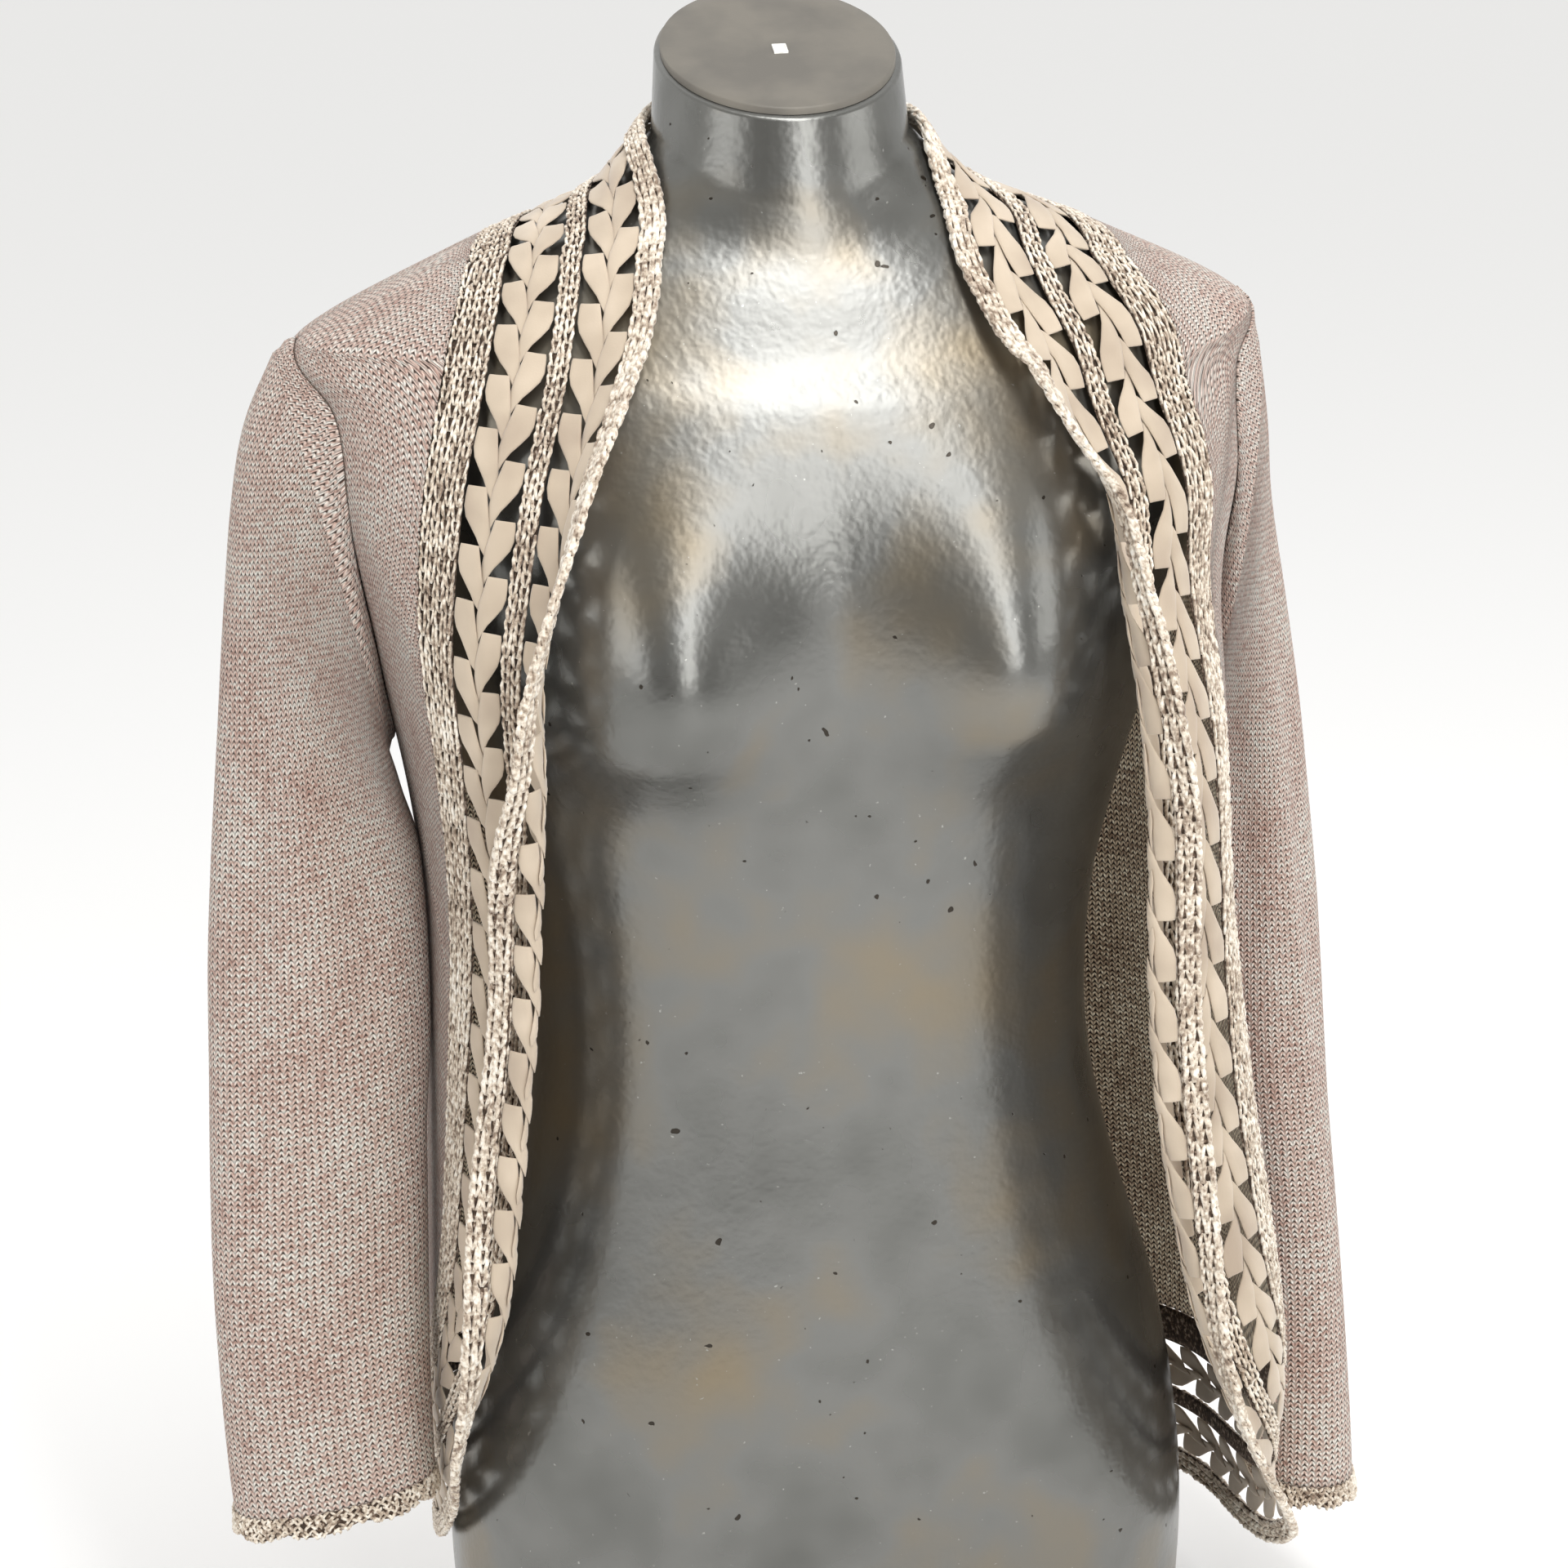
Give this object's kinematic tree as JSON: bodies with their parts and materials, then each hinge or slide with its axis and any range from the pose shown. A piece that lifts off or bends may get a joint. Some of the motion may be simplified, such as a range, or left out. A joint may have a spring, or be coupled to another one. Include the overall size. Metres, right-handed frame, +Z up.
{
  "type": "open-front cardigan on dress form",
  "caption": "Open-front knitted cardigan with rolled edges, plaited trim and scalloped cuffs, worn by a limbless dress form with a flat base.",
  "frame": {"origin": "centre of the dress form's flat base, on the surface it stands on", "axes": "+Z up, -Y the garment's front, +X the wearer's left"},
  "size_m": [0.5394, 0.2806, 0.7927],
  "materials": {
    "pink_melange_knit": "loose stockinette in a pinkish melange yarn",
    "cream_slub_crochet": "thick slub yarn, coarse knit and crochet",
    "taupe_jersey_strip": "smooth matt jersey strips, plaited",
    "silver_lacquer": "glossy dark silver lacquer with an uneven skin",
    "matt_grey_cap": "matt grey"
  },
  "bodies": {
    "root": {"back": "pink_melange_knit", "front_left": "pink_melange_knit", "front_right": "pink_melange_knit", "sleeve_left": "pink_melange_knit", "sleeve_right": "pink_melange_knit", "cuff_edging_left": "cream_slub_crochet", "cuff_edging_right": "cream_slub_crochet", "edge_band_left_front": "cream_slub_crochet", "edge_band_neck": "cream_slub_crochet", "edge_band_right_front": "cream_slub_crochet", "edge_band_hem": "cream_slub_crochet", "outer_braid_left_front": "taupe_jersey_strip", "outer_braid_neck": "taupe_jersey_strip", "outer_braid_right_front": "taupe_jersey_strip", "outer_braid_hem": "taupe_jersey_strip", "narrow_band_left_front": "cream_slub_crochet", "narrow_band_neck": "cream_slub_crochet", "narrow_band_right_front": "cream_slub_crochet", "narrow_band_hem": "cream_slub_crochet", "inner_braid_left_front": "taupe_jersey_strip", "inner_braid_neck": "taupe_jersey_strip", "inner_braid_right_front": "taupe_jersey_strip", "inner_braid_hem": "taupe_jersey_strip", "wide_band_left_front": "cream_slub_crochet", "wide_band_neck": "cream_slub_crochet", "wide_band_right_front": "cream_slub_crochet", "wide_band_hem": "cream_slub_crochet", "dress_form": "silver_lacquer", "neck_cap": "matt_grey_cap"}
  },
  "joints": []
}
